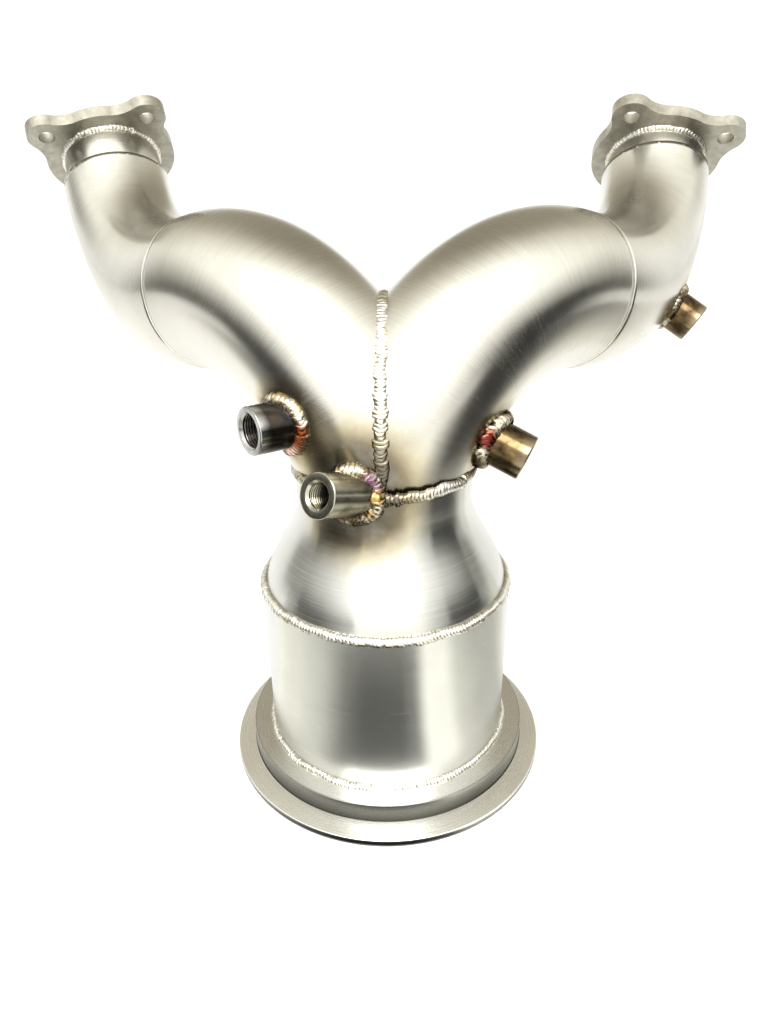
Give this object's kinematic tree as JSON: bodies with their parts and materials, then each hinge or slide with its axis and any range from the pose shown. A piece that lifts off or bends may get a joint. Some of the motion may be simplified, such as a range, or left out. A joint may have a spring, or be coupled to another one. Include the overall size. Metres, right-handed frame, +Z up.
{
  "type": "exhaust merge pipe",
  "caption": "Y-shaped welded exhaust merge pipe: flanged inlets join through mitred bends into a cone, a round can and a wide V-band outlet flange, with threaded sensor bosses.",
  "frame": {"origin": "centre of the outlet V-band flange's mating face, on the can's axis", "axes": "+Z up along the can's axis away from the outlet, +X towards the right inlet, +Y towards the back, where both inlet flanges are"},
  "size_m": [0.4766, 0.3599, 0.3676],
  "materials": {
    "brushed_can": "brushed around the can, long fine grain",
    "polished_pipe": "satin polished stainless tube with soft broad highlights",
    "turned_flange": "turned on a lathe, fine circular grain",
    "cut_plate": "plate with a sanded face and a cut edge",
    "weld_bead": "bright overlapping ripples",
    "tinted_weld": "ripples tinted straw, brown and violet by the heat",
    "blued_boss": "turned, darkened blue by the weld heat",
    "turned_boss": "turned, slightly dulled",
    "bronzed_boss": "turned, tinted bronze by the weld heat"
  },
  "bodies": {
    "root": {"vband_flange": "turned_flange", "outlet_can": "brushed_can", "reducer_cone": "brushed_can", "left_lower_bend": "polished_pipe", "right_lower_bend": "polished_pipe", "left_elbow": "polished_pipe", "right_elbow": "polished_pipe", "left_collar": "polished_pipe", "right_collar": "polished_pipe", "left_inlet_flange": "cut_plate", "right_inlet_flange": "cut_plate", "left_sensor_boss": "blued_boss", "front_sensor_boss": "turned_boss", "right_sensor_boss": "bronzed_boss", "upper_sensor_boss": "bronzed_boss", "vband_weld": "weld_bead", "can_weld": "weld_bead", "collector_weld": "weld_bead", "merge_weld": "weld_bead", "left_seam_weld": "weld_bead", "right_seam_weld": "weld_bead", "left_collar_weld": "weld_bead", "right_collar_weld": "weld_bead", "left_flange_weld": "weld_bead", "right_flange_weld": "weld_bead", "left_boss_weld": "tinted_weld", "front_boss_weld": "tinted_weld", "right_boss_weld": "tinted_weld", "upper_boss_weld": "tinted_weld"}
  },
  "joints": []
}
